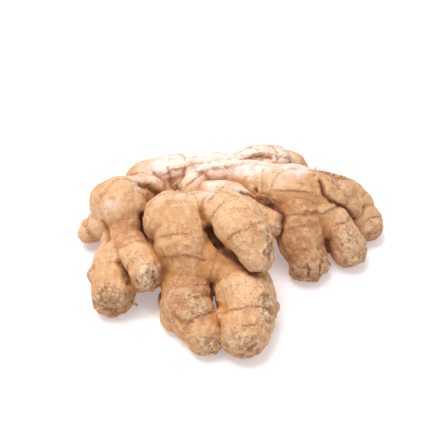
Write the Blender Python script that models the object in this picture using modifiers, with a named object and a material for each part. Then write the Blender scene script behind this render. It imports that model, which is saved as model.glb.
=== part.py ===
"""A ginger rhizome: one branching hand of short fingers, lying on a flat surface.

Metres, +Z up. The origin is the middle of its footprint, at the height it rests on.
+X runs along the hand, from the left knuckle to the right finger tips.
"""
import bpy
import bmesh
from mathutils import Matrix, Vector

MM = 0.001
NODE = "ginger_root"

# Each finger is a chain of stations from its root to its tip, in millimetres:
# (x, y, height of its middle, radius).
FINGERS = {
    # The main stem along the back, and the lobes that grow from it.
    "back_stem": [(-44.5, 39.5, 20, 12), (-34.5, 43.5, 19, 12.5), (-8.5, 44.5, 19, 13),
                  (17.5, 29.5, 25, 13.5)],
    "back_foot": [(-18.5, 53.5, 13, 11), (-10.5, 54.5, 8, 9)],
    "back_lobe": [(4.5, 49.5, 18, 11.5), (15.5, 53.5, 19, 11.5), (29.5, 54.5, 15.5, 10)],
    # The left hand: a round knuckle with a small nub and two fingers.
    "left_knuckle": [(-56.5, 18.5, 24, 14.5), (-54.5, 15.5, 22, 14.5)],
    "left_ridge": [(-56.5, 18.5, 24, 14), (-49.5, 25.5, 23, 11.5), (-40.5, 30.5, 21, 9.5),
                   (-32.5, 33.5, 17, 9)],
    "left_nub": [(-64.5, 16.5, 15, 8), (-70.5, 19.5, 7, 6.5)],
    "left_web": [(-53.5, 18.5, 18, 12), (-41.5, 19.5, 16, 12), (-28.5, 13.5, 17, 13)],
    "left_under": [(-47.5, 4, 9, 9.5), (-40, 0, 8.5, 9), (-32.5, -4, 9.5, 9.5)],
    "left_finger": [(-52.5, 8.5, 20, 11), (-54.5, -3.5, 15, 10), (-57.5, -15.5, 12, 11),
                    (-57.5, -26.5, 10, 11)],
    "left_knob": [(-52.5, -1.5, 17, 9.5), (-46.5, -13.5, 19, 9), (-41.5, -22.5, 20, 9.5)],
    # The middle hand: a high palm, two fingers to the front and one to the right.
    "middle_neck": [(-18.5, 38.5, 17, 12), (-23.5, 20.5, 20, 13), (-27.5, 5.5, 27, 14.5)],
    "middle_palm": [(-29.5, 0.5, 32, 13.5), (-24.5, -3.5, 32, 15), (-22.5, -12.5, 27.5, 15),
                    (-21.5, -19.5, 22, 13)],
    "middle_web": [(-17.5, -10.5, 22, 13.5), (-14.5, -17, 17.5, 12.5)],
    "middle_left": [(-22.5, -15.5, 21, 12.5), (-22.5, -25.5, 16.5, 12), (-21.5, -35.5, 11.5, 12),
                    (-13.5, -52.5, 8, 9)],
    "middle_front": [(-14.5, -7.5, 22, 12.5), (-6, -15, 19.5, 12), (3.5, -26.5, 16.5, 13.5),
                     (6.5, -38.5, 14, 14), (5.5, -53.5, 10.5, 11.5)],
    "middle_right": [(-20.5, 4.5, 33, 10.5), (-10.5, 0.5, 38, 10), (-0.5, -7.5, 40, 11.5),
                     (6.5, -17.5, 39, 12), (11.5, -26.5, 33, 8)],
    "middle_back": [(-16.5, 24.5, 20, 10), (-3.5, 22.5, 23, 11.5), (9.5, 13.5, 24, 9),
                    (19.5, 7, 24, 7.5)],
    # The right hand: a broad palm with three fingers.
    "right_palm": [(9.5, 34.5, 23, 12.5), (19.5, 27.5, 26, 14), (31.5, 23.5, 27, 14.5),
                   (41.5, 24.5, 24, 13)],
    "right_web": [(34.5, 17.5, 21, 13), (43, 14.5, 19, 11.5), (44, 8.5, 15, 8.5)],
    "right_left": [(31.5, 17.5, 24, 13), (33.5, 7.5, 17, 13), (37.5, -4.5, 10, 10.5)],
    "right_middle": [(42.5, 18.5, 20, 10.5), (51.5, 10.5, 15, 10), (56.5, 4.5, 9, 9.5)],
    "right_end": [(43.5, 34.5, 21, 9.5), (55.5, 34.5, 17.5, 9), (63.5, 30.5, 12, 9),
                  (68.5, 21.5, 8, 8.5)],
}

# Round lumps that swell from the skin: (x, y, height of the middle, radius), in millimetres.
BUDS = [
    (33.5, -7.5, 6, 5.5), (39.5, -8.5, 5.5, 5), (44.5, -5.5, 7, 4.5), (55.5, 1.5, 6.5, 5.5),
    (61.5, 7.5, 9, 5), (52.5, 4.5, 10, 5), (70.5, 19.5, 7, 5.5), (72.5, 24.5, 9, 5),
    (49.5, 32.5, 22, 7), (46.5, 25.5, 28.5, 5), (51.5, 21.5, 26.5, 5), (54.5, 27, 25, 7),
    (58.5, 24, 20, 6.5), (13.5, -38.5, 14, 7), (19, -37, 10, 3), (2.5, -56.5, 7, 5.5),
    (8.5, -58, 7.5, 5), (-3.5, -46, 14, 5.5), (-27.5, -40.5, 7, 6), (-21.5, -47.5, 6, 4.5),
    (-29.5, -30, 8, 6.5), (-15, -43, 13.5, 6.5), (-9.5, -56.5, 7, 4.5), (10, -27.5, 32.5, 5.5),
    (15, -17.5, 36.5, 5), (16.5, -21.5, 34, 4), (3.5, -0.5, 40, 6), (-54.5, -30.5, 7.5, 5.5),
    (-61.5, -30.5, 8, 6), (-58, -32.5, 6.5, 5.5), (-64, -18.5, 12, 6.5), (-44.5, -24, 16.5, 6.5),
    (-38, -19.5, 19, 5.5), (-73, 15.5, 8, 5), (-61.5, 18.5, 27, 10), (-56.5, 26.5, 27.5, 7),
    (-64.5, 11.5, 19, 7), (-50.5, 6.5, 24, 7), (-26.5, -10.5, 19, 13), (-33.5, 1.5, 33, 9),
    (-16, 1, 35, 12), (-11, -20, 20.5, 11.5), (-12, -16.5, 24, 11.5), (-1, -17, 24, 11.5),
]

SKIN_GRAIN = 1.2 * MM          # voxel that joins the fingers into one skin
CREASE_ROUNDING = 5            # smoothing passes over the creases between fingers
LUMP_SPACING = 13 * MM
LUMP_HEIGHT = 1.4 * MM
TRIANGLES = 6400               # left after the fine skin is thinned
CUTTER_SIZE = (0.4, 0.4, 0.1)  # block whose top flattens the lowest lobes
WELD = 0.01 * MM               # distance within which a curve's own points are joined
SHARP_ANGLE = 0.9              # radians between faces, beyond which an edge is drawn sharp


def clearScene():
    for leftover in list(bpy.data.objects):
        bpy.data.objects.remove(leftover)


def newCollection(name):
    collection = bpy.data.collections.new(name)
    bpy.context.scene.collection.children.link(collection)
    return collection


def evaluatedMesh(source):
    depsgraph = bpy.context.evaluated_depsgraph_get()
    return bpy.data.meshes.new_from_object(source.evaluated_get(depsgraph))


def addBall(shape, x, y, z, radius):
    place = Matrix.Translation(Vector((x, y, z)) * MM)
    bmesh.ops.create_uvsphere(shape, u_segments=24, v_segments=14, radius=radius * MM, matrix=place)


def fingerMesh(name, stations):
    """One finger: a curve that swells with its stations' radii, with a round end at each end."""
    curve = bpy.data.curves.new(name, "CURVE")
    curve.dimensions = "3D"
    curve.bevel_depth = MM
    curve.bevel_resolution = 6
    curve.resolution_u = 8
    curve.use_fill_caps = True
    spline = curve.splines.new("BEZIER")
    spline.radius_interpolation = "CARDINAL"
    spline.bezier_points.add(len(stations) - 1)
    for point, (x, y, z, radius) in zip(spline.bezier_points, stations):
        point.co = Vector((x, y, z)) * MM
        point.radius = radius
        point.handle_left_type = "AUTO"
        point.handle_right_type = "AUTO"
    holder = bpy.data.objects.new(name, curve)
    bpy.context.scene.collection.objects.link(holder)
    mesh = evaluatedMesh(holder)
    bpy.data.objects.remove(holder)

    shape = bmesh.new()
    shape.from_mesh(mesh)
    bmesh.ops.remove_doubles(shape, verts=shape.verts, dist=WELD)
    for x, y, z, radius in (stations[0], stations[-1]):
        addBall(shape, x, y, z, radius)
    shape.to_mesh(mesh)
    shape.free()
    return mesh


def gatherFingers():
    """All the fingers and buds in one mesh, still crossing each other."""
    shape = bmesh.new()
    for name, stations in FINGERS.items():
        mesh = fingerMesh(name, stations)
        shape.from_mesh(mesh)
        bpy.data.meshes.remove(mesh)
    for x, y, z, radius in BUDS:
        addBall(shape, x, y, z, radius)
    gathered = bpy.data.meshes.new(NODE)
    shape.to_mesh(gathered)
    shape.free()
    return gathered


def floorCutter(cutters):
    """A block under the height the rhizome rests at, which flattens its lowest lobes."""
    bpy.ops.mesh.primitive_cube_add(size=1, location=(0, 0, -CUTTER_SIZE[2] / 2))
    block = bpy.context.object
    block.name = "floor_cutter"
    block.scale = CUTTER_SIZE
    bpy.ops.object.transform_apply(location=True, scale=True)
    block.hide_render = True
    block.display_type = "WIRE"
    for collection in list(block.users_collection):
        collection.objects.unlink(block)
    cutters.objects.link(block)
    return block


def skinMaterial():
    material = bpy.data.materials.new("ginger_skin")
    material.use_nodes = True
    shader = material.node_tree.nodes["Principled BSDF"]
    shader.inputs["Base Color"].default_value = (0.56, 0.33, 0.15, 1)
    shader.inputs["Roughness"].default_value = 0.62
    shader.inputs["Metallic"].default_value = 0
    return material


def buildRhizome(parts, cutters):
    root = bpy.data.objects.new(NODE, gatherFingers())
    parts.objects.link(root)

    skin = root.modifiers.new("one_skin", "REMESH")
    skin.mode = "VOXEL"
    skin.voxel_size = SKIN_GRAIN
    creases = root.modifiers.new("rounded_creases", "SMOOTH")
    creases.factor = 0.5
    creases.iterations = CREASE_ROUNDING
    lumpPattern = bpy.data.textures.new("lumps", "CLOUDS")
    lumpPattern.noise_scale = LUMP_SPACING
    lumps = root.modifiers.new("lumps", "DISPLACE")
    lumps.texture = lumpPattern
    lumps.strength = LUMP_HEIGHT
    lumps.mid_level = 0.5
    whole = evaluatedMesh(root)

    thinned = root.modifiers.new("thinned", "DECIMATE")
    thinned.use_collapse_triangulate = True
    thinned.ratio = TRIANGLES / (2 * len(whole.polygons))
    flattened = root.modifiers.new("flattened_to_rest", "BOOLEAN")
    flattened.operation = "DIFFERENCE"
    flattened.solver = "EXACT"
    flattened.object = floorCutter(cutters)

    finished = evaluatedMesh(root)
    root.modifiers.clear()
    root.data = finished
    root.data.materials.clear()
    root.data.materials.append(skinMaterial())
    centreFootprint(root.data)
    root.data.shade_smooth()
    root.data.set_sharp_from_angle(angle=SHARP_ANGLE)


def centreFootprint(mesh):
    """Moves the mesh so that the middle of its footprint is the origin."""
    corners = [vertex.co for vertex in mesh.vertices]
    low = Vector(min(corner[axis] for corner in corners) for axis in range(3))
    high = Vector(max(corner[axis] for corner in corners) for axis in range(3))
    middle = (low + high) / 2
    mesh.transform(Matrix.Translation((-middle.x, -middle.y, -low.z)))


def main():
    clearScene()
    buildRhizome(newCollection(NODE), newCollection("cutters"))


main()
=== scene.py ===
import math
import random
import bpy
import numpy as np
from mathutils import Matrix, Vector


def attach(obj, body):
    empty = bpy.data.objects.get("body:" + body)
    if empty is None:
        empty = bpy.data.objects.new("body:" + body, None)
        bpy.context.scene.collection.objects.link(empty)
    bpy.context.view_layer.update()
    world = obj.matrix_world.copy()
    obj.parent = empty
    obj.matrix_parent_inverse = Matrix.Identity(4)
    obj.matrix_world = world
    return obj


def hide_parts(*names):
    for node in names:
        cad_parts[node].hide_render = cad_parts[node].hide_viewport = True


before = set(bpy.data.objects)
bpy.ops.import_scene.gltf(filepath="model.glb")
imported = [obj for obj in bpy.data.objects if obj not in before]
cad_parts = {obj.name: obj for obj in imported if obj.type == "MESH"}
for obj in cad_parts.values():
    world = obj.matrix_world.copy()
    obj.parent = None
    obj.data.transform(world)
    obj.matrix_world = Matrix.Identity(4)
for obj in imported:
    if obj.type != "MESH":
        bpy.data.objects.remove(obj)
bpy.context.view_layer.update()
mm = 0.001

# Fingers as chains of stations from root to tip, in millimetres: (x, y, height of the middle, radius).
# "rings" are scale scars, as distances along the finger; "cork" is how rough its tip is and "pale" how
# light that cork is.
fingers = {
    "backStem": {"path": [(-44.5, 39.5, 20, 12), (-34.5, 43.5, 19, 12.5), (-8.5, 44.5, 19, 13),
                          (17.5, 29.5, 25, 13.5)], "rings": [22, 50], "cork": 0.3, "pale": 0.4},
    "backFoot": {"path": [(-18.5, 53.5, 13, 11), (-10.5, 54.5, 8, 9)],
                 "rings": [6], "cork": 0.7, "pale": 0.3},
    "backLobe": {"path": [(4.5, 49.5, 18, 11.5), (15.5, 53.5, 19, 11.5), (29.5, 54.5, 15.5, 10)],
                 "rings": [8, 15, 22], "cork": 0.6, "pale": 0.3},
    "leftKnuckle": {"path": [(-56.5, 18.5, 24, 14.5), (-54.5, 15.5, 22, 14.5)], "rings": []},
    "leftRidge": {"path": [(-56.5, 18.5, 24, 14), (-49.5, 25.5, 23, 11.5), (-40.5, 30.5, 21, 9.5),
                           (-32.5, 33.5, 17, 9)], "rings": []},
    "leftNub": {"path": [(-64.5, 16.5, 15, 8), (-70.5, 19.5, 7, 6.5)],
                "rings": [4], "cork": 0.7, "pale": 0.3},
    "leftWeb": {"path": [(-53.5, 18.5, 18, 12), (-41.5, 19.5, 16, 12), (-28.5, 13.5, 17, 13)],
                "rings": []},
    "leftUnder": {"path": [(-47.5, 4, 9, 9.5), (-40, 0, 8.5, 9), (-32.5, -4, 9.5, 9.5)], "rings": []},
    "leftFinger": {"path": [(-52.5, 8.5, 20, 11), (-54.5, -3.5, 15, 10), (-57.5, -15.5, 12, 11),
                            (-57.5, -26.5, 10, 11)], "rings": [9, 27], "cork": 1, "pale": 0.1},
    "leftKnob": {"path": [(-52.5, -1.5, 17, 9.5), (-46.5, -13.5, 19, 9), (-41.5, -22.5, 20, 9.5)],
                 "rings": [10, 21], "cork": 1, "pale": 0.45},
    "middleNeck": {"path": [(-18.5, 38.5, 17, 12), (-23.5, 20.5, 20, 13), (-27.5, 5.5, 27, 14.5)],
                   "rings": []},
    "middlePalm": {"path": [(-29.5, 0.5, 32, 13.5), (-24.5, -3.5, 32, 15), (-22.5, -12.5, 27.5, 15),
                            (-21.5, -19.5, 22, 13)], "rings": [16.5, 24.5]},
    "middleWeb": {"path": [(-17.5, -10.5, 22, 13.5), (-14.5, -17, 17.5, 12.5)], "rings": []},
    "middleLeft": {"path": [(-22.5, -15.5, 21, 12.5), (-22.5, -25.5, 16.5, 12),
                            (-21.5, -35.5, 11.5, 12), (-13.5, -52.5, 8, 9)],
                   "rings": [17.5, 28, 37], "cork": 0.8, "pale": 0.4},
    "middleFront": {"path": [(-14.5, -7.5, 22, 12.5), (-6, -15, 19.5, 12), (3.5, -26.5, 16.5, 13.5),
                             (6.5, -38.5, 14, 14), (5.5, -53.5, 10.5, 11.5)],
                    "rings": [12, 25, 47, 56], "cork": 0.65, "pale": 0.2},
    "middleRight": {"path": [(-20.5, 4.5, 33, 10.5), (-10.5, 0.5, 38, 10), (-0.5, -7.5, 40, 11.5),
                             (6.5, -17.5, 39, 12), (11.5, -26.5, 33, 8)],
                    "rings": [14, 21, 37], "cork": 0.8, "pale": 0.3},
    "middleBack": {"path": [(-16.5, 24.5, 20, 10), (-3.5, 22.5, 23, 11.5), (9.5, 13.5, 24, 9),
                            (19.5, 7, 24, 7.5)], "rings": [12, 30], "cork": 0.8, "pale": 0.2},
    "rightPalm": {"path": [(9.5, 34.5, 23, 12.5), (19.5, 27.5, 26, 14), (31.5, 23.5, 27, 14.5),
                           (41.5, 24.5, 24, 13)], "rings": []},
    "rightWeb": {"path": [(34.5, 17.5, 21, 13), (43, 14.5, 19, 11.5), (44, 8.5, 15, 8.5)], "rings": []},
    "rightLeft": {"path": [(31.5, 17.5, 24, 13), (33.5, 7.5, 17, 13), (37.5, -4.5, 10, 10.5)],
                  "rings": [7, 14.5, 25], "cork": 0.9, "pale": 0},
    "rightMiddle": {"path": [(42.5, 18.5, 20, 10.5), (51.5, 10.5, 15, 10), (56.5, 4.5, 9, 9.5)],
                    "rings": [6, 13], "cork": 1, "pale": 0.75},
    "rightEnd": {"path": [(43.5, 34.5, 21, 9.5), (55.5, 34.5, 17.5, 9), (63.5, 30.5, 12, 9),
                          (68.5, 21.5, 8, 8.5)], "rings": [10, 20, 27, 34], "cork": 0.7, "pale": 0.1},
}

# Round lumps that swell from the skin: (x, y, height, radius).
buds = [
    (33.5, -7.5, 6, 5.5), (39.5, -8.5, 5.5, 5), (44.5, -5.5, 7, 4.5), (55.5, 1.5, 6.5, 5.5),
    (61.5, 7.5, 9, 5), (52.5, 4.5, 10, 5), (70.5, 19.5, 7, 5.5), (72.5, 24.5, 9, 5),
    (49.5, 32.5, 22, 7), (46.5, 25.5, 28.5, 5), (51.5, 21.5, 26.5, 5), (54.5, 27, 25, 7),
    (58.5, 24, 20, 6.5), (13.5, -38.5, 14, 7), (19, -37, 10, 3),
    (2.5, -56.5, 7, 5.5), (8.5, -58, 7.5, 5), (-3.5, -46, 14, 5.5), (-27.5, -40.5, 7, 6),
    (-21.5, -47.5, 6, 4.5), (-29.5, -30, 8, 6.5), (-15, -43, 13.5, 6.5), (-9.5, -56.5, 7, 4.5),
    (10, -27.5, 32.5, 5.5), (15, -17.5, 36.5, 5), (16.5, -21.5, 34, 4), (3.5, -0.5, 40, 6),
    (-54.5, -30.5, 7.5, 5.5), (-61.5, -30.5, 8, 6), (-58, -32.5, 6.5, 5.5), (-64, -18.5, 12, 6.5),
    (-44.5, -24, 16.5, 6.5), (-38, -19.5, 19, 5.5), (-73, 15.5, 8, 5), (-61.5, 18.5, 27, 10),
    (-56.5, 26.5, 27.5, 7), (-64.5, 11.5, 19, 7), (-50.5, 6.5, 24, 7), (-26.5, -10.5, 19, 13),
    (-33.5, 1.5, 33, 9), (-16, 1, 35, 12),
    (-11, -20, 20.5, 11.5), (-12, -16.5, 24, 11.5),
    (-1, -17, 24, 11.5),
]

# Creases worked into the skin: lines close to it, half width and depth in millimetres, and how dark it is
# painted, as painted shade in the crease.
strokes = [
    {"lines": [[(-27, 8, 42), (-31, 32, 26), (-32, 40, 31)], [(-26, 12, 38), (-26, 32, 28), (-24, 42, 31)],
               [(-29, 10, 42), (-34, 31, 27), (-40, 36, 31)], [(-25, 12, 40), (-23, 27, 31), (-16, 36, 30)]],
     "width": 0.8, "depth": 1.1, "dark": 0.5},  # pleats behind the palm
    {"lines": [[(-28, 22, 34), (-28, 29, 26)]], "width": 2.0, "depth": 2.5, "dark": 1},
    {"lines": [[(-13, -9.5, 35.5), (-8, -11.5, 31), (-5, -15.5, 30)]],
     "width": 2.0, "depth": 3.0, "dark": 1},  # gap under middleRight
    {"lines": [[(-5, -15.5, 30), (-1, -22, 30.5), (4, -29, 31), (13, -36, 30)]],
     "width": 1.3, "depth": 1.6, "dark": 1},
    {"lines": [[(-14, -1, 47.5), (-15, -6, 44.5), (-14, -8, 41)]], "width": 1.0, "depth": 0.7, "dark": 0.4},
    {"lines": [[(4, 18, 35), (8, 16.5, 33), (14, 14, 30), (23, 8, 26), (24, 4, 20), (23, 0, 14)]],
     "width": 1.1, "depth": 1.2, "dark": 1},  # behind middleBack
    {"lines": [[(42, 22, 35), (45, 17, 33), (48, 17, 29), (54.5, 18, 21), (60, 15, 14), (65, 12.5, 8)]],
     "width": 1.4, "depth": 1.4, "dark": 1},  # beside rightEnd
    {"lines": [[(-44, 8, 28), (-42, 0, 22), (-39, -7, 18), (-35, -15, 18), (-34, -25, 15), (-33, -33, 10)]],
     "width": 2.2, "depth": 1.2, "dark": 1},  # left of the palm
    {"lines": [[(-55, -18.5, 23.5), (-52, -23, 20), (-50, -28, 17)]],
     "width": 1.3, "depth": 1.4, "dark": 0.8},
    {"lines": [[(-46, 25.5, 32), (-42, 26, 30), (-37.5, 24.5, 27)]],
     "width": 2.0, "depth": 2.2, "dark": 0.9},  # recess behind leftKnuckle
    {"lines": [[(-63.5, 5, 26), (-61.5, 1.5, 22.5), (-60.5, -4.5, 22.5)]],
     "width": 1.4, "depth": 1.2, "dark": 0.6},
    {"lines": [[(-27, -47, 15.5), (-23, -50.5, 15), (-19.5, -51.5, 17)]],
     "width": 1.2, "depth": 0.7, "dark": 0.6},  # step of middleLeft
    {"lines": [[(4, 43, 33), (11, 50, 30), (20, 49, 28.5)], [(4, 55, 29), (13, 60, 27), (22, 60, 25)]],
     "width": 1.0, "depth": 1.2, "dark": 0.7},  # folds of backLobe
    {"lines": [[(-11, -29, 21), (-9, -37, 16), (-6, -45, 10)]],
     "width": 1.2, "depth": 1.0, "dark": 0.9},  # between the front fingers
    {"lines": [[(36, -15, 16), (36.5, -18, 8)], [(42.5, -12, 14), (43, -14, 6)]],
     "width": 0.8, "depth": 1.0, "dark": 0.8},  # clefts of rightLeft's tip
    {"lines": [[(45, 3, 17), (47, 0, 12), (48, -2, 8)]], "width": 1.2, "depth": 0.6, "dark": 1},
    {"lines": [[(-47, 4, 26), (-43, -4, 22), (-39, -12, 19)], [(-15, -11, 36), (-8, -14, 30)],
               [(-11, -27, 23), (-9, -36, 16)], [(45, 4, 19), (47, 0, 13)], [(22, 8, 27), (24, 2, 20)]],
     "width": 4.5, "depth": 0.1, "dark": 0.4},  # painted shade around the gaps
    {"lines": [[(19, -23, 40), (20, -26, 36), (19, -30, 32)]],
     "width": 1.0, "depth": 1.2, "dark": 1},  # beside middleRight's scar
    {"lines": [[(11, 19.5, 34), (11.4, 19, 33.5)]], "width": 0.9, "depth": 1.6, "dark": 1},
]

# Edges of old scales, which step down along a line: the raised side lies towards "over".
flaps = [
    {"line": [(24, 16, 36.5), (29, 15.5, 38.5), (36, 15, 37.5)],
     "over": (0, 1, 0.6), "reach": 4, "step": 0.9},
    {"line": [(36, 7, 30.5), (40, 8, 29.5), (45.5, 10, 28.5), (49.5, 14, 27)],
     "over": (0, 1, 0.8), "reach": 4, "step": 0.9},
    {"line": [(18.5, 17, 37), (20, 21, 40.5), (25, 25, 42.5), (33, 29, 43)],
     "over": (-1, 0.6, 0), "reach": 5, "step": 0.8},
    {"line": [(14, 18, 35), (14.5, 23, 38.5), (15, 29, 39.5)],
     "over": (-1, 0.2, 0), "reach": 4, "step": 0.6},
    {"line": [(-40, 4, 40), (-35, 5.5, 43), (-28, 4.5, 46), (-20, 5, 46.5), (-12, 4, 47), (-4, 1, 50),
              (3, -2, 51)],
     "over": (0, 1, 0), "reach": 3, "step": 0.6},
    {"line": [(-19, 37, 29), (-9, 39.5, 31), (6, 37, 35), (16, 33, 39)],
     "over": (0, 1, 0.3), "reach": 4, "step": 1},
    {"line": [(-36, 36, 29), (-24, 41, 32), (-12, 43, 33), (2, 43, 35)],
     "over": (0, 1, 0), "reach": 4, "step": 0.8},
    {"line": [(-63, 14.5, 36), (-56.5, 22.5, 37.5), (-47, 25, 34)],
     "over": (0, 1, 0), "reach": 4, "step": 0.9},
    {"line": [(-8, 22, 34.5), (0, 20, 36), (8, 15, 34)],
     "over": (0, 1, 0.5), "reach": 3, "step": 0.7},
    {"line": [(4, 46, 32), (14, 50, 31.5), (26, 51, 28)],
     "over": (0, 1, 0.5), "reach": 5, "step": 1.2},
]

# Old scars with a raised flaky rim: the line each lies along, how far its rim is from that line, and how
# dark a crescent of painted shade inside the rim is.
scars = [
    {"line": [(14.5, -22.5, 45), (16.5, -25, 41), (16, -30, 38)], "rim": 3.0, "dark": 0.3},
    {"line": [(14.5, -44.5, 23.5), (15.5, -49.5, 18)], "rim": 4.2, "dark": 0.45},
    {"line": [(-19.5, -42, 23), (-16, -44, 21.5)], "rim": 2.2, "dark": 0.4},
    {"line": [(-40, -29, 24), (-39, -31, 21)], "rim": 4.5, "dark": 0.3},
    {"line": [(-67, 2, 14), (-67, -2, 12)], "rim": 2.5, "dark": 0.5},
    {"line": [(44, 44, 20), (48, 43, 18)], "rim": 3, "dark": 0.6},
    {"line": [(-58, 31, 24), (-54, 34, 20)], "rim": 3.2, "dark": 0.6},
    {"line": [(22, 40, 34), (26, 40, 31)], "rim": 2.6, "dark": 0.5},
]

# Patches of the skin, (x, y, z, radius, strength): redder skin with painted shade on shaded sides,
# pale dry skin with painted light on the tops, painted light on lit tops, cork-rough skin, and scars.
patches = {
    "rusty": [(-32, -24, 18, 9, 1), (-32, -33, 15, 9, 1), (-30, -46, 14, 8, 0.8),
              (-38, -10, 30, 7, 0.7), (-47, 0, 27, 9, 1), (-50, -6, 24, 7, 0.7),
              (-46, 5, 21, 10, 1), (-42, -3, 20, 9, 1), (-39, -12, 21, 8, 1),
              (-24, -33, 26, 9, 0.5), (31, -6, 16, 14, 1), (42, -8, 13, 13, 1),
              (35, 3, 27, 12, 0.75), (50, 28, 31, 9, 0.35), (57, 21, 27, 9, 0.3),
              (-22, -39, 22, 14, 1), (9, -33, 33, 6, 0.9), (66, 22, 18, 10, 0.25),
              (60, 32, 23, 9, 0.4), (28, 14, 34, 14, 0.1), (-24, -27, 28, 9, 0.35),
              (44, 12, 28, 12, 0.35), (52, 8, 22, 9, 0.3), (-24, -6, 43, 16, 0.3),
              (-38, -20, 27, 8, 0.35), (-57, -14, 23, 10, 0.2), (-68, 18, 20, 9, 0.25),
              (-54, 2, 25, 7, 0.6), (-57, -8, 22, 8, 0.5), (-46, -20, 24, 6, 0.5),
              (25, 8, 24, 8, 1), (-57, -33, 10, 9, 0.5), (20, -42, 12, 8, 0.6),
              (-12, -60, 10, 7, 0.4), (4, -27, 30, 7, 0.4)],
    "dry": [(-33, 38, 30, 12, 0.9), (-19, 42, 31, 14, 1), (-3, 41, 32, 14, 1),
            (12, 37, 36, 12, 0.9), (-8, 26, 33, 9, 0.6), (4, 19, 33, 7, 0.5), (30, 30, 41, 9, 0.7),
            (20, 25, 39, 9, 0.25), (-60, 8, 34, 7, 0.35), (-24, 3, 47, 7, 0.4),
            (-13, 2, 48, 7, 0.4), (-35, 3, 45, 6, 0.4), (9, 50, 30, 12, 0.8), (24, 54, 27, 9, 0.6),
            (22, 20, 40, 8, 0.3), (-46, 26, 34, 8, 0.5)],
    "light": [(5, -34, 30, 17, 0.9), (0, -12, 51, 16, 0.8), (12, -24, 42, 9, 0.8),
              (-21, -24, 28, 7, 0.4), (-40, -22, 29, 5, 0.3), (66, 28, 20, 8, 0.3)],
    "rough": [(57, 1, 17, 7, 0.9), (49, 26, 32, 7, 0.8), (56, 24, 27, 6, 0.6),
              (-17, -47, 17, 5, 1), (17, -24, 39, 5, 0.7), (15, -46, 23, 5, 0.5),
              (-41, 26, 30, 5, 0.6), (38, -14, 12, 8, 0.5), (-68, 12, 14, 6, 0.4)],
    "scarred": [(-55, -36, 9, 7, 1), (7, -63, 12, 5, 0.7), (33, -13, 10, 5, 0.6),
                (62, 3, 10, 5, 0.8), (-53, -36, 10, 6, 1), (-50, -32, 15, 5, 0.8),
                (3, -64, 10, 4, 0.6), (12, -63, 8, 5, 0.8), (-20, -58, 9, 4, 0.5),
                (40, -16, 8, 6, 0.7), (60, -2, 8, 5, 0.8), (18, -27, 37, 4, 0.8),
                (19, -45, 15, 3, 0.8), (70, 13, 8, 6, 0.6), (50, 32, 32, 6, 0.7),
                (-42, 26, 29, 5, 0.8)],
}

# How the skin is worked once the fingers are one body; lengths in millimetres.
skin = {
    "voxel": 0.79, "creaseRounding": 4,
    "lumpSpacing": 13, "lumpHeight": 1.0, "knobbleSpacing": 5.5, "knobbleHeight": 0.65,
    "grainSpacing": 2.3, "grainHeight": 0.25, "wrinkleHeight": 0.19,
    "ringDepth": 0.12, "ringStep": 0.2, "ringWidth": 0.9, "segmentBulge": 0.7,
    "ringTwist": 1.6, "ringTwistSpacing": 8, "ringWobble": 0.5, "ringWobbleSpacing": 4,
    "ringShiver": 0.2, "ringShiverSpacing": 1.8, "ringTilt": 0.14, "ringFadeSpacing": 8,
    "ringFade": (-0.35, 0.35), "ringFaint": 0.3, "ringGapFade": 1.2, "ringGapMost": 9.0,
    "lipRise": (-3.6, -0.4), "lipFoot": (-0.35, 0.25), "lipCrest": (-1.6, -0.3), "lipShade": 0.4,
    "bulgeSkew": 0.8, "knobbleSpread": 0.6,
    "wrinkleSpacing": 1.6, "fineWrinkleSpacing": 0.9, "fineWrinkles": 0.7, "wrinkleStretch": 7,
    "corkReach": 6, "corkHeight": 0.9, "corkGrain": 3.4, "corkFinePebbles": 0.45, "corkStart": 0.12,
    "corkRagged": 1.6, "corkRaggedSpacing": 4, "corkFrayed": 0.8, "corkFrayedSpacing": 1.8,
    "pebbleSize": 1.25,
    "waverSpacing": 3.5, "lineWaver": 0.7, "scarWaver": 1.3, "patchWaver": 2.5,
    "flapEdge": 0.8, "flapShade": 0.5, "flapRise": (-0.4, 0.3), "flapPale": (0, 0.6), "shadeSide": 0.1,
    "flakeCount": 260, "flakeSeed": 11, "flakeStep": 0.35, "flakeReach": (0.6, 2.4),
    "flakeWidth": 1.6, "flakeShade": 0.5, "flakeNear": 9, "flakeBow": 0.4, "flakeRise": (-0.3, 0.25),
    "flakePale": (0, 0.4), "flakeDarkWidth": 0.6, "flakePaleWidth": 0.7,
    "scarRim": 0.3, "scarRimWidth": 0.25, "scarDish": 0.2, "scarRipple": 0.15, "scarRipples": 7,
    "scarInside": (1.2, 0.85), "scarCork": 0.8, "scarPale": 0.5, "scarPaleAt": 1.02,
    "scarDarkAt": 0.62, "scarBand": 0.2, "scarBroken": (-0.4, 0.3),
    "hollowRounds": {"fineHollow": 6, "hollow": 40, "deepHollow": 260},
    "underRounds": 12, "underSpan": (-0.5, 0.6), "grainStretch": 8,
}

# Which noise each feature draws from. Wrinkles and the twist of rings add the finger's own number.
seeds = {
    "lumps": 1, "knobbles": 2, "grain": 3, "corkRagged": 5, "corkFrayed": 6, "wrinkles": 20,
    "corkPebbles": 31, "corkFinePebbles": 37, "fineWrinkles": 50, "waver": 61, "ringTwist": 80,
    "ringWobble": 81, "ringShiver": 82, "ringFade": 90,
}

fingerBlend = 0.05  # how softly one finger's skin passes into the next, in radii
farAway = 99.0


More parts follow.
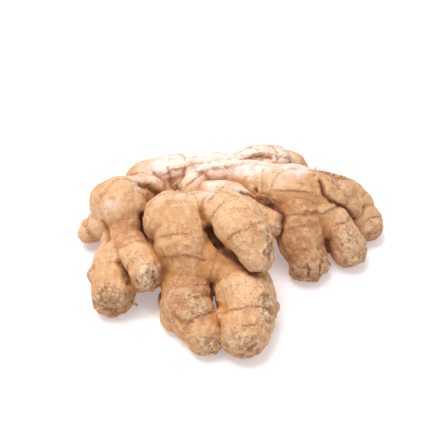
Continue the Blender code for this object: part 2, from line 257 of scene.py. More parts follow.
def growFinger(path):
    bpy.ops.object.select_all(action="DESELECT")
    bpy.ops.curve.primitive_bezier_curve_add()
    finger = bpy.context.object
    curve = finger.data
    curve.bevel_depth = mm
    curve.bevel_resolution = 8
    curve.resolution_u = 10
    curve.use_fill_caps = True
    spline = curve.splines[0]
    spline.radius_interpolation = "CARDINAL"
    spline.bezier_points.add(len(path) - len(spline.bezier_points))
    for point, (x, y, z, radius) in zip(spline.bezier_points, path):
        point.co = Vector((x, y, z)) * mm
        point.radius = radius
        point.handle_left_type = point.handle_right_type = "AUTO"
    bpy.ops.object.convert(target="MESH")
    bpy.ops.object.mode_set(mode="EDIT")
    bpy.ops.mesh.select_all(action="SELECT")
    bpy.ops.mesh.remove_doubles(threshold=0.01 * mm)
    for x, y, z, radius in (path[0], path[-1]):  # round ends
        bpy.ops.mesh.primitive_uv_sphere_add(segments=32, ring_count=18, radius=radius * mm,
                                             location=Vector((x, y, z)) * mm)
    bpy.ops.object.mode_set(mode="OBJECT")
    return finger


def growRhizome():
    grown = [growFinger(finger["path"]) for finger in fingers.values()]
    bpy.ops.object.select_all(action="DESELECT")
    for x, y, z, radius in buds:
        bpy.ops.mesh.primitive_uv_sphere_add(segments=24, ring_count=14, radius=radius * mm,
                                             location=Vector((x, y, z)) * mm)
        grown.append(bpy.context.object)
    for finger in grown:
        finger.select_set(True)
    bpy.context.view_layer.objects.active = grown[0]
    bpy.ops.object.join()
    rhizome = bpy.context.object
    bpy.ops.object.transform_apply(location=True, rotation=True, scale=True)
    rhizome.name = rhizome.data.name = "ginger_rhizome"
    oneSkin = rhizome.modifiers.new("oneSkin", "REMESH")
    oneSkin.mode = "VOXEL"
    oneSkin.voxel_size = skin["voxel"] * mm
    bpy.ops.object.modifier_apply(modifier="oneSkin")
    creases = rhizome.modifiers.new("creases", "SMOOTH")
    creases.factor = 0.5
    creases.iterations = skin["creaseRounding"]
    bpy.ops.object.modifier_apply(modifier="creases")
    return rhizome


def smoothNoise(points, spacing, seed):
    # value noise from -1 to 1, one value a point
    scaled = points / spacing + seed * 17.3
    cell = np.floor(scaled).astype(np.int64)
    part = scaled - cell
    part = part * part * part * (part * (part * 6 - 15) + 10)
    total = np.zeros(len(points))
    for corner in range(8):
        step = np.array([corner & 1, corner >> 1 & 1, corner >> 2 & 1])
        weight = np.prod(np.where(step, part, 1 - part), axis=1)
        total += weight * latticeValue(cell + step, seed)
    return total


def latticeValue(cell, seed):
    # one repeatable value from -1 to 1 for each cell
    mixed = (cell[:, 0] * 73856093) ^ (cell[:, 1] * 19349663) ^ (cell[:, 2] * 83492791)
    mixed = mixed ^ (seed * 2654435761)
    mixed = (mixed ^ (mixed >> 13)) * 1274126177 & 0x7FFFFFFF
    mixed = (mixed ^ (mixed >> 11)) * 1103515245 & 0x7FFFFFFF
    return (mixed % 65536) / 32767.5 - 1


def pebbles(points, grain, seed):
    # distance to the nearest scattered pebble centre, in grains
    scaled = points / grain
    cell = np.floor(scaled).astype(np.int64)
    nearest = np.full(len(points), 9.0)
    for i in (-1, 0, 1):
        for j in (-1, 0, 1):
            for k in (-1, 0, 1):
                near = cell + np.array([i, j, k])
                jitter = np.stack([latticeValue(near, seed + axis) for axis in range(3)], axis=1)
                centre = near + 0.5 + 0.4 * jitter
                nearest = np.minimum(nearest, np.linalg.norm(scaled - centre, axis=1))
    return nearest


def smoothStep(values, start, end):
    t = np.clip((values - start) / (end - start), 0, 1)
    return t * t * (3 - 2 * t)


def bell(values, width):
    return np.exp(-(values / width) ** 2)


def finePath(path, spacing=0.8):
    # Catmull-Rom through the stations, with the distance along and a frame that doesn't twist
    stations = np.array(path, float)
    padded = np.vstack([2 * stations[0] - stations[1], stations, 2 * stations[-1] - stations[-2]])
    fine = []
    for before, here, there, after in zip(padded, padded[1:], padded[2:], padded[3:]):
        count = max(2, int(np.linalg.norm((there - here)[:3]) / spacing))
        for t in np.arange(count) / count:
            fine.append(0.5 * (2 * here + (there - before) * t
                               + (2 * before - 5 * here + 4 * there - after) * t ** 2
                               + (3 * here - before - 3 * there + after) * t ** 3))
    fine.append(stations[-1])
    fine = np.array(fine)
    middle, radius = fine[:, :3], fine[:, 3]
    steps = np.diff(middle, axis=0)
    along = np.concatenate([[0], np.cumsum(np.linalg.norm(steps, axis=1))])
    tangent = np.vstack([steps, steps[-1]])
    tangent /= np.linalg.norm(tangent, axis=1)[:, None]
    side = np.zeros_like(tangent)
    guess = np.array([0.3, 0.2, 1.0])
    for row, direction in enumerate(tangent):
        guess = guess - direction * guess.dot(direction)
        guess /= np.linalg.norm(guess)
        side[row] = guess
    return middle, radius, along, tangent, side


class SkinMap:
    # where each point of the skin lies on its nearest finger
    def __init__(self, points):
        names = list(fingers)
        count = len(points)
        self.closeness = np.zeros((len(names), count))
        self.along = np.zeros((len(names), count))
        self.around = np.zeros((len(names), count))
        self.radius = np.zeros((len(names), count))
        self.length = np.zeros(len(names))
        for row, name in enumerate(names):
            middle, radius, along, tangent, side = finePath(fingers[name]["path"])
            self.length[row] = along[-1]
            for start in range(0, count, 20000):
                part = points[start:start + 20000]
                offset = part[:, None, :] - middle[None, :, :]
                ratio = np.linalg.norm(offset, axis=2) / radius[None, :]
                best = ratio.argmin(axis=1)
                rows = np.arange(len(part))
                away = offset[rows, best]
                forward = (away * tangent[best]).sum(axis=1)
                across = away - tangent[best] * forward[:, None]
                up = (across * side[best]).sum(axis=1)
                aside = (across * np.cross(tangent[best], side[best])).sum(axis=1)
                window = slice(start, start + len(part))
                self.closeness[row, window] = ratio[rows, best]
                self.along[row, window] = along[best] + forward
                self.around[row, window] = np.arctan2(aside, up)
                self.radius[row, window] = radius[best]
        nearness = np.exp(-((self.closeness - self.closeness.min(axis=0)) / fingerBlend))
        self.weight = nearness / nearness.sum(axis=0)
        self.names = names
        self.nearest = self.weight.argmax(axis=0)


def neighbourPairs(mesh):
    pairs = np.empty(len(mesh.edges) * 2, dtype=np.int64)
    mesh.edges.foreach_get("vertices", pairs)
    return pairs.reshape(-1, 2)


def offsetFromLine(points, line):
    # from the nearest place on the line to each point
    nearest = np.full(len(points), np.inf)
    offset = np.zeros_like(points)
    for start, end in zip(line, line[1:]):
        run = end - start
        t = np.clip((points - start) @ run / (run @ run), 0, 1)
        away = points - start - t[:, None] * run
        distance = np.linalg.norm(away, axis=1)
        closer = distance < nearest
        nearest = np.where(closer, distance, nearest)
        offset[closer] = away[closer]
    return offset


def ontoSkin(points, line, spacing=1.2):
    # the same line in short steps, each moved to the nearest point of the skin
    line = np.array(line, float)
    steps = [start + (end - start) * t for start, end in zip(line, line[1:])
             for t in np.arange(0, 1, spacing / np.linalg.norm(end - start))]
    steps.append(line[-1])
    return np.array([points[((points - step) ** 2).sum(axis=1).argmin()] for step in steps])


def relaxed(values, pairs, rounds):
    # each value moves to the mean of its neighbours', over and over
    count = len(values)
    both = np.concatenate([pairs[:, 0], pairs[:, 1]])
    other = np.concatenate([pairs[:, 1], pairs[:, 0]])
    degree = np.bincount(both, minlength=count)
    values = values.copy()
    flat = values.ndim == 1
    for _ in range(rounds):
        if flat:
            values = np.bincount(both, weights=values[other], minlength=count) / degree
        else:
            values = np.stack([np.bincount(both, weights=values[other, axis], minlength=count) / degree
                               for axis in range(3)], axis=1)
    return values


def storeAttribute(mesh, name, values):
    kind = "FLOAT" if values.ndim == 1 else "FLOAT_VECTOR"
    attribute = mesh.attributes.new(name, kind, "POINT")
    field = "value" if kind == "FLOAT" else "vector"
    attribute.data.foreach_set(field, values.astype(np.float32).ravel())


class SkinWork:
    # what is gathered at each point of the skin before the points move
    def __init__(self, points, normals):
        count = len(points)
        self.points = points
        self.normals = normals
        self.height = skin["lumpHeight"] * smoothNoise(points, skin["lumpSpacing"], seeds["lumps"])
        self.height += skin["grainHeight"] * smoothNoise(points, skin["grainSpacing"], seeds["grain"])
        # painted shade: how much creases, the low side of flap and flake edges, and scar hollows are
        # darkened
        self.dark = np.zeros(count)
        self.paleEdge = np.zeros(count)
        self.cork = np.zeros(count)
        self.corkPale = np.zeros(count)
        self.ringGap = np.full(count, skin["ringGapMost"])
        self.waver = np.column_stack([smoothNoise(points, skin["waverSpacing"], seeds["waver"] + axis)
                                      for axis in range(3)])
        self.wavering = points + skin["lineWaver"] * self.waver


def workFingers(work, where):
    # scale rings, the swelling between them, wrinkles along each finger and cork at its tip
    points = work.points
    count = len(points)
    ringShape, bulge, wrinkles = np.zeros(count), np.zeros(count), np.zeros(count)
    ringWander = skin["ringWobble"] * smoothNoise(points, skin["ringWobbleSpacing"], seeds["ringWobble"])
    ringWander += skin["ringShiver"] * smoothNoise(points, skin["ringShiverSpacing"], seeds["ringShiver"])
    fading = smoothStep(smoothNoise(points, skin["ringFadeSpacing"], seeds["ringFade"]), *skin["ringFade"])
    strength = skin["ringFaint"] + (1 - skin["ringFaint"]) * fading
    tipEdge = skin["corkRagged"] * smoothNoise(points, skin["corkRaggedSpacing"], seeds["corkRagged"])
    tipEdge += skin["corkFrayed"] * smoothNoise(points, skin["corkFrayedSpacing"], seeds["corkFrayed"])
    for row, name in enumerate(where.names):
        finger = fingers[name]
        weight = where.weight[row]
        angle, radius = where.around[row], where.radius[row]
        around = np.stack([np.cos(angle) * radius, np.sin(angle) * radius], axis=1)
        onFinger = np.column_stack([where.along[row] / skin["wrinkleStretch"], around])
        coarse = smoothNoise(onFinger, skin["wrinkleSpacing"], seeds["wrinkles"] + row)
        fine = smoothNoise(onFinger, skin["fineWrinkleSpacing"], seeds["fineWrinkles"] + row)
        wrinkles += weight * (coarse + skin["fineWrinkles"] * fine)
        onTurn = np.column_stack([around, np.full(count, 3.0 * row)])
        twist = smoothNoise(onTurn, skin["ringTwistSpacing"], seeds["ringTwist"] + row)
        wander = skin["ringTwist"] * twist + ringWander
        tilt = skin["ringTilt"] * np.cos(angle + row)
        reach = where.along[row] + wander + tilt * radius
        for ring in finger["rings"]:
            gap = reach - ring
            groove = -skin["ringDepth"] * bell(gap, skin["ringWidth"] / 2)
            lip = smoothStep(gap, *skin["lipRise"]) * smoothStep(-gap, *skin["lipFoot"])
            ringShape += weight ** 2 * (groove + skin["ringStep"] * lip) * strength
            crest = lip * smoothStep(gap, *skin["lipCrest"])
            work.paleEdge = np.maximum(work.paleEdge, skin["lipShade"] * weight * fading * crest)
            nearer = np.minimum(work.ringGap, np.abs(gap) + skin["ringGapFade"] * (1 - fading))
            work.ringGap = np.where(weight > 0.5, nearer, work.ringGap)
        for start, end in zip(finger["rings"], finger["rings"][1:]):
            between = np.clip((reach - start) / (end - start), 0, 1)
            bulge += weight ** 2 * np.sin(math.pi * between ** skin["bulgeSkew"])
        if finger.get("cork"):
            tipward = where.along[row] - where.length[row]
            begin = skin["corkStart"] * radius
            tipMask = smoothStep(tipward + tipEdge, begin, begin + skin["corkReach"])
            work.cork = np.maximum(work.cork, finger["cork"] * tipMask * weight)
            work.corkPale += finger["pale"] * tipMask * weight
    knobbles = smoothNoise(points, skin["knobbleSpacing"], seeds["knobbles"])
    knobbles *= skin["knobbleSpread"] * (1 + np.clip(work.cork, 0, 1))
    work.height += skin["knobbleHeight"] * knobbles
    work.height += ringShape
    work.height += skin["segmentBulge"] * bulge
    work.height += skin["wrinkleHeight"] * wrinkles


def pressStrokes(work):
    for stroke in strokes:
        gap = np.full(len(work.points), farAway)
        for line in stroke["lines"]:
            offset = offsetFromLine(work.wavering, ontoSkin(work.points, line))
            gap = np.minimum(gap, np.linalg.norm(offset, axis=1))
        pressed = bell(gap, stroke["width"])
        work.height -= stroke["depth"] * pressed
        work.dark = np.maximum(work.dark, stroke["dark"] * pressed)


def raiseFlaps(work):
    for flap in flaps:
        offset = offsetFromLine(work.wavering, ontoSkin(work.points, flap["line"]))
        gap = np.linalg.norm(offset, axis=1)
        over = np.array(flap["over"], float)
        side = offset @ (over / np.linalg.norm(over))
        work.height += flap["step"] * smoothStep(side, *skin["flapRise"]) * bell(gap, flap["reach"])
        # painted shadow along the low side of the step
        edge = bell(gap, skin["flapEdge"])
        work.dark = np.maximum(work.dark, skin["flapShade"] * edge * (side < skin["shadeSide"]))
        work.paleEdge = np.maximum(work.paleEdge, edge * smoothStep(side, *skin["flapPale"]))


def scatterFlakes(work):
    # many short loose edges of skin, strewn at random
    points, normals = work.points, work.normals
    draw = np.random.default_rng(skin["flakeSeed"])
    for _ in range(skin["flakeCount"]):
        root = draw.integers(len(points))
        near = np.linalg.norm(points - points[root], axis=1) < skin["flakeNear"]
        across = np.cross(normals[root], draw.normal(size=3))
        across /= np.linalg.norm(across)
        over = np.cross(normals[root], across)
        reach = draw.uniform(*skin["flakeReach"])
        line = points[root] + reach * np.array([-across, over * skin["flakeBow"], across])
        offset = offsetFromLine(work.wavering[near], line)
        gap = np.linalg.norm(offset, axis=1)
        side = offset @ over
        raised = smoothStep(side, *skin["flakeRise"]) * bell(gap, skin["flakeWidth"])
        work.height[near] += skin["flakeStep"] * raised
        # painted shadow along the low side of each flake
        shade = skin["flakeShade"] * bell(gap, skin["flakeDarkWidth"]) * (side < skin["shadeSide"])
        work.dark[near] = np.maximum(work.dark[near], shade)
        crest = bell(gap, skin["flakePaleWidth"]) * smoothStep(side, *skin["flakePale"])
        work.paleEdge[near] = np.maximum(work.paleEdge[near], crest)


def openScars(work):
    for scar in scars:
        offset = offsetFromLine(work.points + skin["scarWaver"] * work.waver,
                                ontoSkin(work.points, scar["line"]))
        gap = np.linalg.norm(offset, axis=1) / scar["rim"]
        inside = smoothStep(gap, *skin["scarInside"])
        work.height += skin["scarRim"] * bell(gap - 1, skin["scarRimWidth"])
        work.height -= skin["scarDish"] * inside * (1 - gap ** 2)
        work.height += skin["scarRipple"] * inside * np.cos(skin["scarRipples"] * gap)
        work.cork = np.maximum(work.cork, skin["scarCork"] * inside)
        work.corkPale = np.maximum(work.corkPale, skin["scarPale"] * inside)
        rim = bell(gap - skin["scarPaleAt"], skin["scarBand"])
        work.paleEdge = np.maximum(work.paleEdge, skin["scarPale"] * rim)
        broken = smoothStep(work.waver[:, 0], *skin["scarBroken"])
        # painted shade: a dark crescent in the scar's hollow
        crescent = bell(gap - skin["scarDarkAt"], skin["scarBand"]) * broken
        work.dark = np.maximum(work.dark, scar["dark"] * crescent)


def shadePatches(work):
    ragged = work.points + skin["patchWaver"] * work.waver
    shades = {}
    for name, spots in patches.items():
        shades[name] = np.zeros(len(ragged))
        for x, y, z, reach, strength in spots:
            gap = np.linalg.norm(ragged - (x, y, z), axis=1)
            shades[name] = np.maximum(shades[name], strength * bell(gap, reach))
    return shades


def pebbleCork(work):
    bumpy = 1 - pebbles(work.points, skin["corkGrain"], seeds["corkPebbles"]) * skin["pebbleSize"]
    finer = 1 - pebbles(work.points, skin["corkGrain"] / 2, seeds["corkFinePebbles"]) * skin["pebbleSize"]
    work.height += work.cork * skin["corkHeight"] * (bumpy + skin["corkFinePebbles"] * finer)


def readVectors(mesh, name):
    values = np.empty(len(mesh.vertices) * 3)
    mesh.vertices.foreach_get(name, values)
    return values.reshape(-1, 3)


def storeHollows(mesh, points, normals, pairs):
    # how far the skin lies below its own smoothed shape, at three widths
    smoothed, rounds = points, 0
    for name, target in skin["hollowRounds"].items():
        smoothed = relaxed(smoothed, pairs, target - rounds)
        rounds = target
        depth = ((smoothed - points) * normals).sum(axis=1)
        storeAttribute(mesh, name, relaxed(depth, pairs, 1))


def sculptSkin(rhizome):
    mesh = rhizome.data
    pairs = neighbourPairs(mesh)
    work = SkinWork(readVectors(mesh, "co") / mm, readVectors(mesh, "normal"))
    where = SkinMap(work.points)
    workFingers(work, where)
    pressStrokes(work)
    raiseFlaps(work)
    scatterFlakes(work)
    openScars(work)
    shades = shadePatches(work)
    work.cork = np.maximum(work.cork, shades.pop("rough"))
    pebbleCork(work)

    points = work.points + work.normals * work.height[:, None]
    points[:, 2] = np.maximum(points[:, 2], 0)
    mesh.vertices.foreach_set("co", (points * mm).ravel())
    mesh.update()

    normals = readVectors(mesh, "normal")
    storeHollows(mesh, points, normals, pairs)
    # painted shade: skin facing sideways or down is coloured darker and redder
    facing = relaxed(normals[:, 2], pairs, skin["underRounds"])
    storeAttribute(mesh, "under", smoothStep(-facing, *skin["underSpan"]))
    for name in ("paleEdge", "ringGap", "dark"):
        storeAttribute(mesh, name, getattr(work, name))
    for name, shade in shades.items():
        storeAttribute(mesh, name, shade)
    storeAttribute(mesh, "cork", relaxed(work.cork, pairs, 1))
    storeAttribute(mesh, "corkPale", relaxed(work.corkPale, pairs, 2))
    rows = np.arange(len(points))
    angle = where.around[where.nearest, rows]
    radius = where.radius[where.nearest, rows]
    grain = np.column_stack([where.along[where.nearest, rows] / skin["grainStretch"],
                             np.cos(angle) * radius, np.sin(angle) * radius])
    storeAttribute(mesh, "grain", grain * mm)
    mesh.shade_smooth()
    print("skin sculpted:", len(points), "points, box", points.min(axis=0), points.max(axis=0))


class Wire:
    # a shader socket that can stand in a sum
    def __init__(self, tree, socket=None):
        self.tree = tree
        self.socket = socket

    def node(self, kind, settings=None, values=None, output=0):
        made = self.tree.nodes.new(kind)
        for key, setting in (settings or {}).items():
            if key == "stops":
                ramp = made.color_ramp.elements
                while len(ramp) < len(setting):
                    ramp.new(0.5)
                for stop, (place, colour) in zip(ramp, setting):
                    stop.position = place
                    stop.color = (*colour, 1)
            else:
                setattr(made, key, setting)
        for key, value in (values or {}).items():
            if isinstance(value, Wire):
                self.tree.links.new(value.socket, made.inputs[key])
            elif value is not None:
                made.inputs[key].default_value = value
        return Wire(self.tree, made.outputs[output])

    def maths(self, operation, *values):
        return self.node("ShaderNodeMath", {"operation": operation}, dict(enumerate(values)))

    def __add__(self, other):
        return self.maths("ADD", self, other)

    __radd__ = __add__

    def __sub__(self, other):
        return self.maths("SUBTRACT", self, other)

    def __rsub__(self, other):
        return self.maths("SUBTRACT", other, self)

    def __mul__(self, other):
        return self.maths("MULTIPLY", self, other)

    __rmul__ = __mul__

    def between(self, start, end, low=0.0, high=1.0):
        return self.node("ShaderNodeMapRange", {"interpolation_type": "SMOOTHSTEP"},
                         {"Value": self, "From Min": start, "From Max": end, "To Min": low, "To Max": high})

    def noise(self, scale, detail=3.0, roughness=0.55):
        return self.node("ShaderNodeTexNoise", {}, {"Vector": self, "Scale": scale, "Detail": detail,
                                                    "Roughness": roughness})

    def tinted(self, factor, colour):
        # mixed with one of the skin's colours, by name, or with another wire
        other = (*skinColours[colour], 1) if isinstance(colour, str) else colour
        return self.node("ShaderNodeMix", {"data_type": "RGBA"}, {0: factor, 6: self, 7: other}, output=2)


def startMaterial(name):
    material = bpy.data.materials.new(name)
    material.use_nodes = True
    tree = material.node_tree
    shader = tree.nodes["Principled BSDF"]
    return material, tree, shader


# ochre, rust and crevice serve both as the skin's own tones and as painted shade
skinColours = {  # linear colours
    "base": (0.63, 0.345, 0.162), "pale": (0.77, 0.49, 0.285), "dry": (0.90, 0.79, 0.73),
    "flake": (0.86, 0.66, 0.46), "ochre": (0.52, 0.225, 0.06), "rust": (0.35, 0.135, 0.052),
    "crevice": (0.10, 0.028, 0.008), "ring": (0.18, 0.06, 0.018), "cork": (0.37, 0.18, 0.078),
    "corkLight": (0.66, 0.44, 0.25), "corkPale": (0.78, 0.565, 0.37), "speck": (0.10, 0.034, 0.011),
}

# Scales of the colour's noises, in cycles a metre, and the relief too fine for the mesh.
texture = {
    "clouds": 38, "blotches": 130, "warp": 260, "cracks": 300, "mottle": 340, "flakes": 480, "specks": 480,
    "fleck": 600, "fibres": 750, "fineFleck": 1500, "fineFibres": 1700, "warpReach": 0.006,
    "bumpStrength": 0.9, "bumpHeight": 0.0008,
}


def gingerSkin():
    material, tree, shader = startMaterial("ginger_skin")
    start = Wire(tree)
    place = start.node("ShaderNodeTexCoord", output=3)
    (ringGap, cork, corkPale, fineHollow, hollow, deepHollow, under, dark, paleEdge,
     rusty, dry, light, scarred) = [
        start.node("ShaderNodeAttribute", {"attribute_name": name}, output=2)
        for name in ("ringGap", "cork", "corkPale", "fineHollow", "hollow", "deepHollow", "under", "dark",
                     "paleEdge", "rusty", "dry", "light", "scarred")]
    grain = start.node("ShaderNodeAttribute", {"attribute_name": "grain"}, output=1)

    clouds = place.noise(texture["clouds"], 4)
    blotches = place.noise(texture["blotches"], 5, 0.6)
    fibres = grain.noise(texture["fibres"], 4, 0.65)
    fineFibres = grain.noise(texture["fineFibres"], 3, 0.6)
    fleck = place.noise(texture["fleck"], 3)
    fineFleck = place.noise(texture["fineFleck"], 2)
    mottle = place.noise(texture["mottle"], 4, 0.65)

    base = start.node("ShaderNodeRGB")
    base.socket.default_value = (*skinColours["base"], 1)
    colour = base.tinted(clouds.between(0.48, 0.7) * 0.7, "pale")
    colour = colour.tinted(clouds.between(0.52, 0.32) * 0.7, "ochre")
    # painted light: paler on lit tops
    colour = colour.tinted(light.between(0.05, 0.9) * (mottle.between(0.35, 0.6) * 0.3 + 0.45), "pale")
    # pale dry skin, and painted light on the tops
    colour = colour.tinted(dry.between(0.05, 0.65) * (blotches.between(0.3, 0.55) * 0.3 + 0.68), "dry")
    colour = colour.tinted(blotches.between(0.52, 0.72) * 0.5, "rust")
    # redder skin, and painted shade on shaded sides and beside hollows
    colour = colour.tinted(rusty.between(0.0, 0.85) * (mottle.between(0.35, 0.6) * 0.45 + 0.45), "rust")
    colour = colour.tinted(mottle.between(0.52, 0.68) * 0.3, "pale")
    colour = colour.tinted(fibres.between(0.55, 0.72) * 0.25, "pale")
    colour = colour.tinted(fibres.between(0.48, 0.3) * 0.25, "ochre")
    colour = colour.tinted(fineFibres.between(0.48, 0.33) * 0.3, "rust")
    speckled = (blotches + 0.4 * cork + 0.12 * light - 0.3 * dry).between(0.42, 0.62) * 0.9 + 0.2
    colour = colour.tinted(fineFleck.between(0.53, 0.66) * speckled * 0.35, "flake")
    colour = colour.tinted(fineFleck.between(0.46, 0.34) * speckled * 0.4, "rust")
    colour = colour.tinted(fleck.between(0.57, 0.66) * speckled * 0.6, "rust")

    warp = start.node("ShaderNodeTexNoise", {},
                      {"Vector": place, "Scale": texture["warp"], "Detail": 2}, output=1)
    warped = start.node("ShaderNodeVectorMath", {"operation": "MULTIPLY_ADD"},
                        {0: warp, 1: (texture["warpReach"],) * 3, 2: place})
    cracks = start.node("ShaderNodeTexVoronoi", {"feature": "DISTANCE_TO_EDGE"},
                        {"Vector": warped, "Scale": texture["cracks"]})
    corkStops = [(0.38, skinColours["cork"]), (0.6, skinColours["corkLight"])]
    corkTone = start.node("ShaderNodeValToRGB", {"stops": corkStops}, {0: mottle})
    corkTone = corkTone.tinted(corkPale * mottle.between(0.3, 0.55) * 0.8, "corkPale")
    flakes = start.node("ShaderNodeTexVoronoi", {}, {"Vector": warped, "Scale": texture["flakes"]},
                        output=1)
    corkTone = corkTone.tinted(flakes.between(0.5, 0.65) * (corkPale * 0.5 + 0.4), "flake")
    corkTone = corkTone.tinted(flakes.between(0.46, 0.34) * 0.7, "rust")
    corkTone = corkTone.tinted(cracks.between(0.08, 0.0) * fleck.between(0.4, 0.6) * 0.7, "crevice")
    colour = colour.tinted(cork.between(0.1, 0.85) * (blotches.between(0.35, 0.55) * 0.35 + 0.6), corkTone)
    specks = place.noise(texture["specks"], 2, 0.5)
    colour = colour.tinted((cork.between(0.1, 0.6) * 0.7 + 0.15) * specks.between(0.62, 0.7), "speck")
    colour = colour.tinted(scarred.between(0.1, 0.8) * (mottle.between(0.45, 0.6) * 0.65 + 0.12), "ring")

    # painted shade in fine creases, darker and redder; painted light on fine ridges, paler
    colour = colour.tinted(fineHollow.between(0.02, 0.22) * 0.5, "rust")
    colour = colour.tinted(fineHollow.between(-0.04, -0.2) * 0.35, "pale")
    # painted shade: skin facing sideways or down darker and redder
    colour = colour.tinted(under * 0.5, "ochre")
    colour = colour.tinted(under.between(0.5, 1.0) * 0.25, "rust")
    # painted shade: hollows and crevices darker, redder and browner, weaker on the pale patches
    outsidePalePatches = 1 - dry * 0.7
    colour = colour.tinted(hollow.between(0.0, 0.8) * outsidePalePatches * 0.6, "ochre")
    colour = colour.tinted(deepHollow.between(-1.5, 1.8) * outsidePalePatches * 0.8, "ochre")
    colour = colour.tinted(deepHollow.between(0.0, 3.0) * 0.85, "rust")
    colour = colour.tinted(hollow.between(0.6, 1.9) * 0.75, "crevice")

    beads = fibres.between(0.40, 0.56)
    line = (ringGap + (fineFleck - 0.5) * 1.0).between(0.6, 0.15)
    nearRing = ringGap.between(2.6, 0.2)
    colour = colour.tinted(nearRing * fibres.between(0.55, 0.42) * 0.4, "rust")
    colour = colour.tinted(paleEdge.between(0.1, 0.9) * (fibres.between(0.35, 0.6) * 0.3 + 0.25), "flake")
    colour = colour.tinted(line * (beads * mottle.between(0.42, 0.58) * 0.7 + 0.05), "ring")
    # painted shade in creases and scar hollows, painted shadow on the low side of flap and flake edges
    colour = colour.tinted(dark.between(0.0, 0.6) * 0.6, "rust")
    colour = colour.tinted(dark.between(0.3, 1.0) * 0.9, "crevice")
    tree.links.new(colour.socket, shader.inputs["Base Color"])

    rough = 0.5 + 0.2 * fleck + 0.15 * cork
    tree.links.new(rough.socket, shader.inputs["Roughness"])
    shader.inputs["Specular IOR Level"].default_value = 0.35

    relief = (fibres * 0.7 + fineFibres * 0.3 + fleck * 0.6 + fineFleck * 0.3 + blotches * 0.5
              + specks.between(0.5, 0.7) * -0.4 * cork + cracks.between(0.0, 0.12) * 0.6 * cork
              + flakes * 0.5 * cork - line * 0.35)
    bump = start.node("ShaderNodeBump", {}, {"Strength": texture["bumpStrength"],
                                             "Distance": texture["bumpHeight"], "Height": relief})
    tree.links.new(bump.socket, shader.inputs["Normal"])
    return material


def paint(piece, material):
    piece.data.materials.clear()
    piece.data.materials.append(material)


# Dry rootlets that still hang on the skin: points of each, thickness at its root and at its tip.
rootlets = {
    "hook": ([(11.5, 14.5, 30), (12.4, 13.5, 34), (14.6, 12.5, 36.8), (17.6, 12, 35.6),
              (21, 9.5, 33.5)], 0.75, 0.35),
    "stub": ([(-52, -31, 9), (-48.5, -32.5, 9), (-45.5, -34, 8.5)], 1.5, 0.6),
    "thorn": ([(61, 2.5, 10), (64.5, 4, 10.5), (67.5, 4.5, 12)], 0.6, 0.15),
}
# Fine hairs in a row on the right end's ridge, between two points a little above it.
ridgeHairs = {"count": 26, "seed": 7, "start": (41, 33, 34), "end": (58, 32, 27), "length": 3.6,
              "thickness": 0.18, "rootDepth": 0.3}


def growRootlet(points, thick, thin):
    bpy.ops.object.select_all(action="DESELECT")
    bpy.ops.curve.primitive_bezier_curve_add()
    rootlet = bpy.context.object
    curve = rootlet.data
    curve.bevel_depth = mm
    curve.bevel_resolution = 1
    curve.resolution_u = 4
    curve.use_fill_caps = True
    spline = curve.splines[0]
    spline.bezier_points.add(len(points) - len(spline.bezier_points))
    for place, (point, at) in enumerate(zip(spline.bezier_points, points)):
        point.co = Vector(at) * mm
        point.radius = thick + (thin - thick) * place / (len(points) - 1)
        point.handle_left_type = point.handle_right_type = "AUTO"
    bpy.ops.object.convert(target="MESH")
    bpy.ops.object.mode_set(mode="EDIT")
    bpy.ops.mesh.select_all(action="SELECT")
    bpy.ops.mesh.remove_doubles(threshold=0.01 * mm)
    bpy.ops.mesh.normals_make_consistent(inside=False)
    bpy.ops.object.mode_set(mode="OBJECT")
    return rootlet


def growRootlets(rhizome):
    grown = [growRootlet(*rootlet) for rootlet in rootlets.values()]
    draw = random.Random(ridgeHairs["seed"])
    start, end = Vector(ridgeHairs["start"]), Vector(ridgeHairs["end"])
    for hair in range(ridgeHairs["count"]):
        above = start.lerp(end, (hair + draw.random()) / ridgeHairs["count"])
        above += Vector((0, draw.uniform(-1, 4), 3))
        _, root, normal, _ = rhizome.closest_point_on_mesh(above * mm)
        root = root / mm - normal * ridgeHairs["rootDepth"]
        sweep = Vector((draw.uniform(0.2, 1.2), draw.uniform(-0.8, 0.3), draw.uniform(-0.3, 0.3)))
        reach = ridgeHairs["length"] * draw.uniform(0.5, 1)
        middle = root + (normal + sweep * 0.3).normalized() * reach * 0.5
        tip = middle + (normal * 0.6 + sweep).normalized() * reach * 0.6
        grown.append(growRootlet([root, middle, tip], ridgeHairs["thickness"], ridgeHairs["thickness"] / 2))
    bpy.ops.object.select_all(action="DESELECT")
    for rootlet in grown:
        rootlet.select_set(True)
    bpy.context.view_layer.objects.active = grown[0]
    bpy.ops.object.join()
    bpy.ops.object.transform_apply(location=True, rotation=True, scale=True)
    together = bpy.context.object
    together.name = together.data.name = "rootlets"
    together.data.shade_smooth()
    print("rootlets grown:", len(grown))
    return together


def rootletSkin():
    material, tree, shader = startMaterial("dry_rootlet")
    place = Wire(tree).node("ShaderNodeTexCoord", output=3)
    mottle = place.noise(700, 3)
    stops = [(0.35, (0.17, 0.075, 0.03)), (0.68, (0.46, 0.26, 0.13))]
    tone = mottle.node("ShaderNodeValToRGB", {"stops": stops}, {0: mottle})
    tree.links.new(tone.socket, shader.inputs["Base Color"])
    bump = mottle.node("ShaderNodeBump", {}, {"Strength": 0.6, "Distance": 0.0003, "Height": mottle})
    tree.links.new(bump.socket, shader.inputs["Normal"])
    shader.inputs["Roughness"].default_value = 0.75
    return material


studio = {
    "cameraTarget": (-4.5, 13.3, 17.1), "cameraDistance": 640, "cameraElevation": 44,
    "millimetresAcross": 223.5,
    "floorSize": 3.0, "floorColour": (0.84, 0.82, 0.83), "floorGlow": 0.28,
    "keyPlace": (-0.28, 0.18, 1.0), "keySize": 0.75, "keyPower": 12,
    "fillPlace": (0.5, -0.7, 0.6), "fillSize": 0.8, "fillPower": 1, "skyStrength": 0.62,
}


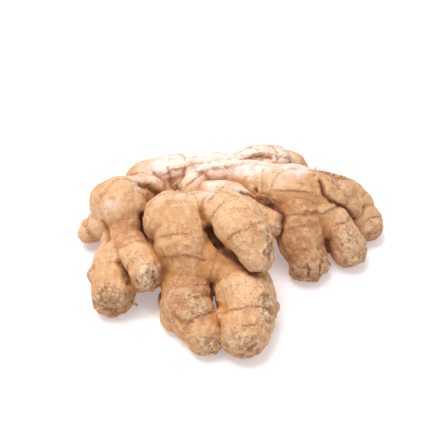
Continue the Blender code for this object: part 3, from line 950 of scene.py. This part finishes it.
def addCamera():
    tilt = math.radians(studio["cameraElevation"])
    back = Vector((0, -math.cos(tilt), math.sin(tilt)))
    data = bpy.data.cameras.new("camera")
    data.sensor_width = 36
    data.lens = 36 * studio["cameraDistance"] / studio["millimetresAcross"]
    data.clip_start = 0.01
    camera = bpy.data.objects.new("camera", data)
    bpy.context.scene.collection.objects.link(camera)
    camera.location = (Vector(studio["cameraTarget"]) + back * studio["cameraDistance"]) * mm
    camera.rotation_euler = (math.pi / 2 - tilt, 0, 0)
    bpy.context.scene.camera = camera


def addLamp(name, place, size, power):
    data = bpy.data.lights.new(name, "AREA")
    data.size = size
    data.energy = power
    lamp = bpy.data.objects.new(name, data)
    bpy.context.scene.collection.objects.link(lamp)
    lamp.location = place
    lamp.rotation_euler = Vector(place).to_track_quat("Z", "Y").to_euler()


def buildStudio():
    bpy.ops.object.select_all(action="DESELECT")
    bpy.ops.mesh.primitive_plane_add(size=studio["floorSize"])
    floor = bpy.context.object
    floor.name = "floor"
    material, _, shader = startMaterial("pale_floor")
    shader.inputs["Base Color"].default_value = (*studio["floorColour"], 1)
    shader.inputs["Roughness"].default_value = 0.6
    shader.inputs["Emission Color"].default_value = (1, 0.985, 0.99, 1)
    shader.inputs["Emission Strength"].default_value = studio["floorGlow"]
    paint(floor, material)
    addLamp("keyLamp", studio["keyPlace"], studio["keySize"], studio["keyPower"])
    addLamp("fillLamp", studio["fillPlace"], studio["fillSize"], studio["fillPower"])
    world = bpy.data.worlds.new("sky")
    world.use_nodes = True
    sky = world.node_tree.nodes["Background"]
    sky.inputs["Color"].default_value = (1, 1, 1, 1)
    sky.inputs["Strength"].default_value = studio["skyStrength"]
    bpy.context.scene.world = world
    bpy.context.scene.view_settings.view_transform = "Standard"
    addCamera()
    print("studio ready")


rhizome = growRhizome()
print("fingers grown and joined")
sculptSkin(rhizome)
paint(rhizome, gingerSkin())
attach(rhizome, "root")
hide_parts("ginger_root")
hairs = growRootlets(rhizome)
paint(hairs, rootletSkin())
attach(hairs, "root")
buildStudio()
